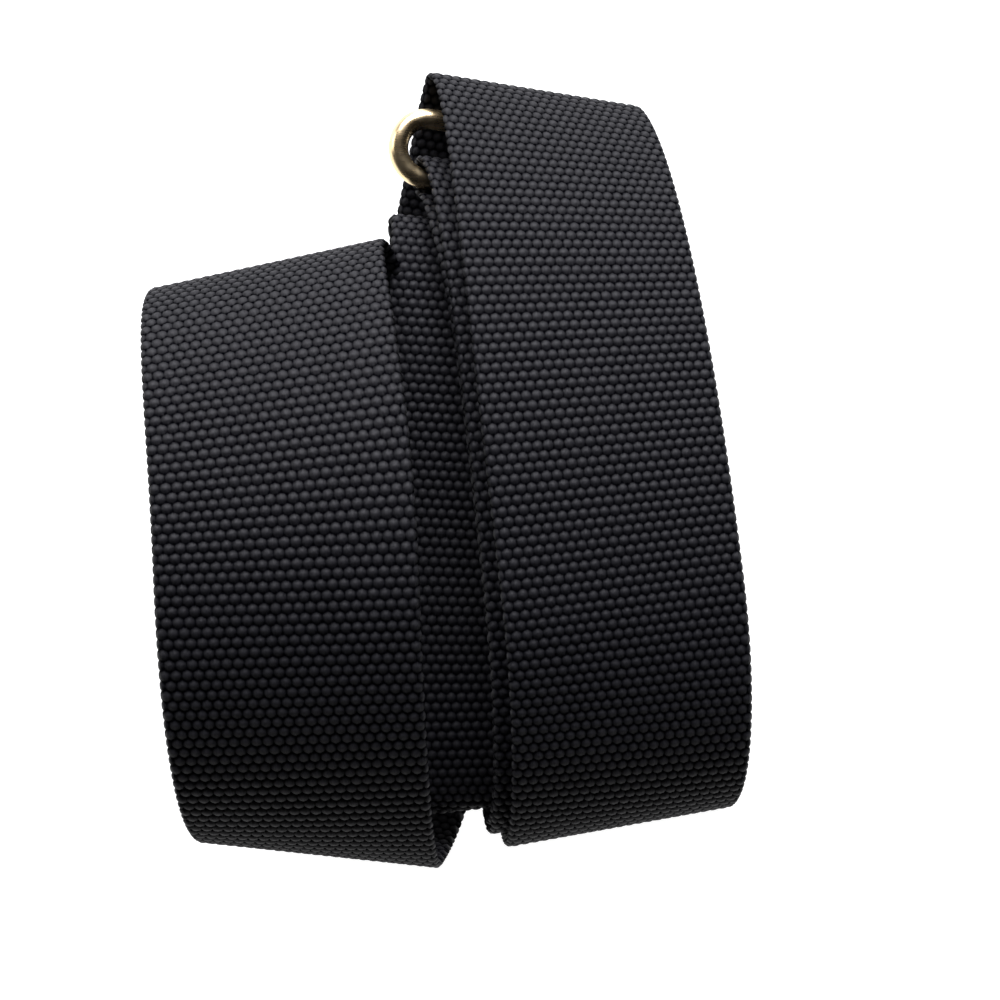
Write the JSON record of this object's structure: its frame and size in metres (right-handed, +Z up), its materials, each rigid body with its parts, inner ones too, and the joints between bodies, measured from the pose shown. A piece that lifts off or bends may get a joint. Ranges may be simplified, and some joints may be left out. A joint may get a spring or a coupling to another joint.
{
  "type": "guitar strap",
  "caption": "Woven guitar strap wound into a flat coil, with a gold oval ring, a sliding length adjuster and leather tabs for the strap buttons.",
  "frame": {"origin": "on the floor under the middle of the coil's outline", "axes": "+X to the right across the turns, +Y along the turns towards the ring, +Z up from the floor"},
  "size_m": [0.129, 0.1728, 0.0759],
  "materials": {
    "webbing": "coarse woven, matt with a slight sheen",
    "gold_metal": "polished gold plate",
    "leather": "black, fine grain, semi-matt",
    "thread": "black bonded thread"
  },
  "bodies": {
    "strap": {"webbing_inner_turn": "webbing", "webbing_middle_turn": "webbing", "webbing_left_turn": "webbing", "webbing_outer_turn": "webbing", "webbing_return_layer": "webbing", "webbing_slider_span": "webbing", "outer_tab_lower_leather": "leather", "outer_tab_upper_leather": "leather", "outer_tab_stitching": "thread"},
    "slider": {"slider_frame": "gold_metal", "slider_center_bar": "gold_metal", "webbing_end_loop": "webbing", "end_loop_stitching": "thread"},
    "ring": {"oval_ring": "gold_metal"},
    "ring_tab": {"ring_tab_leather": "leather", "ring_tab_stitching": "thread"}
  },
  "joints": [
    {"name": "slider_travel", "type": "slide", "parent": "strap", "child": "slider", "axis": [-0.1676, 0.9859, 0], "range_m": [-0.008, 0.008], "deforming": ["webbing_slider_span"]},
    {"name": "ring_tilt", "type": "hinge", "parent": "strap", "child": "ring", "pos_m": [0.01422, 0.06093, 0.0186], "axis": [0.9487, -0.0698, -0.3083], "range_deg": [-0.6, 0.8]},
    {"name": "ring_tab_swing", "type": "hinge", "parent": "ring", "child": "ring_tab", "pos_m": [0.01538, 0.07386, 0.01925], "axis": [0.9487, -0.0698, -0.3083], "range_deg": [-0.6, 0.8]}
  ]
}
